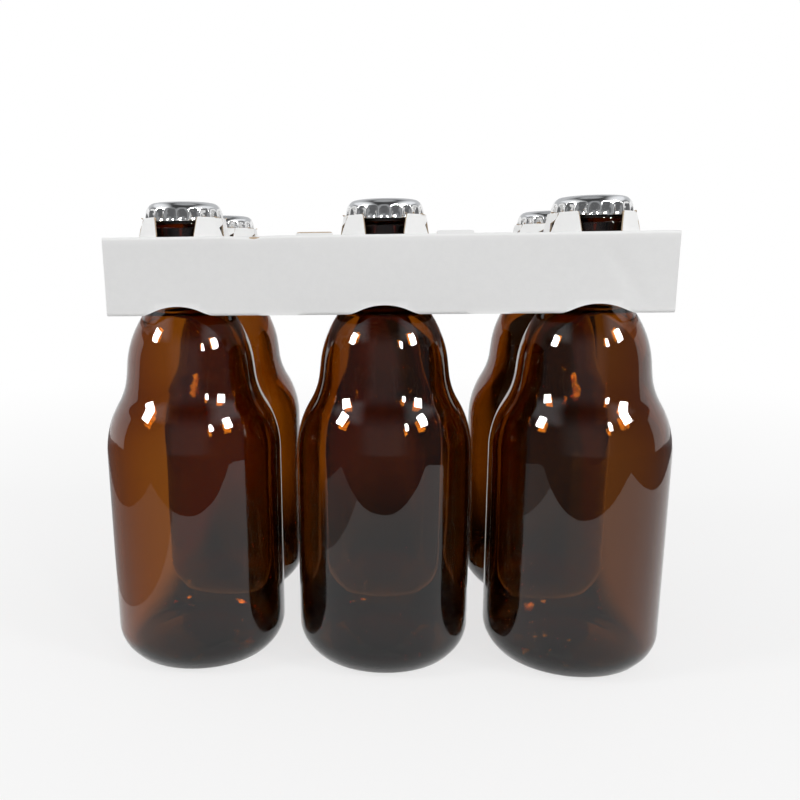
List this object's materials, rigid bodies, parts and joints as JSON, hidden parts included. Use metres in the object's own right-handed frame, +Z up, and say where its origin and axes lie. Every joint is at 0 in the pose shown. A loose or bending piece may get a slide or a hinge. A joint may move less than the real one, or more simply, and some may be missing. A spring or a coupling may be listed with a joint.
{
  "type": "six-pack bottle carrier",
  "caption": "White board neck carrier: a folded open-ended sleeve with finger holes, gripping capped amber stubby bottles by tabs under their crown caps.",
  "frame": {"origin": "centre of the footprint on the surface that the bottles stand on", "axes": "+Z up, +X along a row of bottles to the right, +Y from the front row to the back row"},
  "size_m": [0.218, 0.143, 0.176],
  "materials": {
    "board": "matt white clay coat outside, brown kraft inside and at cut edges",
    "amber_glass": "clear glossy amber-brown container glass",
    "tinplate": "bright plain tinplate",
    "liner": "soft moulded sealing compound"
  },
  "bodies": {
    "root": {"carrier": "board", "bottle_front_left": "amber_glass", "bottle_front_middle": "amber_glass", "bottle_front_right": "amber_glass", "bottle_back_left": "amber_glass", "bottle_back_middle": "amber_glass", "bottle_back_right": "amber_glass", "crown_cap_front_left": "tinplate", "crown_cap_front_middle": "tinplate", "crown_cap_front_right": "tinplate", "crown_cap_back_left": "tinplate", "crown_cap_back_middle": "tinplate", "crown_cap_back_right": "tinplate", "cap_liner_front_left": "liner", "cap_liner_front_middle": "liner", "cap_liner_front_right": "liner", "cap_liner_back_left": "liner", "cap_liner_back_middle": "liner", "cap_liner_back_right": "liner"}
  },
  "joints": []
}
